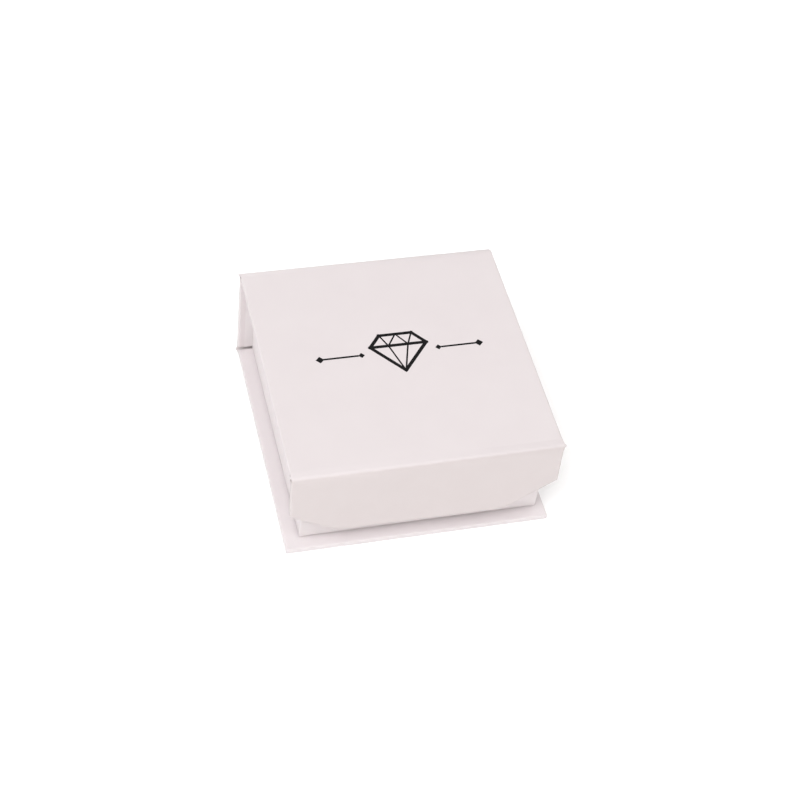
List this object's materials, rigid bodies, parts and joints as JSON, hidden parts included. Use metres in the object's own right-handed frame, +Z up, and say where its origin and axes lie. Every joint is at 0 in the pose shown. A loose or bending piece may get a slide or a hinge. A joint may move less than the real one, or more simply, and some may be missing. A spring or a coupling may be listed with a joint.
{
  "type": "jewelry gift box",
  "caption": "Rigid book-style gift box for jewellery, covered in white paper, with a hinged lid, a magnetic front flap and a foam insert in an inner tray.",
  "frame": {"origin": "middle of the closed box's footprint, on the surface it stands on", "axes": "+X to the right as seen from the flap, -Y towards the flap, +Z up"},
  "size_m": [0.08, 0.082, 0.0346],
  "materials": {
    "cover_paper": "matte",
    "liner_paper": "matte",
    "greyboard": "matte",
    "tape_paper": "matte",
    "glue": "satin",
    "foam": "matte",
    "flock": "matte",
    "magnet_nickel": "satin",
    "steel": "satin",
    "print_ink": "matte"
  },
  "bodies": {
    "base": {"base_board": "greyboard", "spine_board": "greyboard", "base_and_spine_cover": "cover_paper", "spine_liner": "liner_paper", "tray_board": "greyboard", "tray_corner_tapes": "tape_paper", "tray_cover": "cover_paper", "tray_floor_liner": "liner_paper", "tray_glue": "glue", "tray_steel_disc_left": "steel", "tray_steel_disc_right": "steel", "foam_block": "foam", "insert_cover": "flock"},
    "lid": {"lid_board": "greyboard", "lid_cover": "cover_paper", "lid_liner": "liner_paper", "lid_pad": "foam", "lid_hinge_cover_ply": "cover_paper", "lid_hinge_liner_ply": "liner_paper"},
    "flap": {"flap_board": "greyboard", "flap_cover": "cover_paper", "flap_liner": "liner_paper", "flap_magnet_left": "magnet_nickel", "flap_magnet_right": "magnet_nickel", "flap_hinge_cover_ply": "cover_paper", "flap_hinge_liner_ply": "liner_paper"}
  },
  "joints": [
    {"name": "lid_hinge", "type": "hinge", "parent": "base", "child": "lid", "pos_m": [0, 0.04074, 0.03434], "axis": [-1, 0, 0], "range_deg": [0, 175], "deforming": ["lid_hinge_cover_ply", "lid_hinge_liner_ply"]},
    {"name": "flap_hinge", "type": "hinge", "parent": "lid", "child": "flap", "pos_m": [0, -0.04061, 0.03441], "axis": [-1, 0, 0], "range_deg": [0, 90], "deforming": ["flap_hinge_cover_ply", "flap_hinge_liner_ply"]}
  ]
}
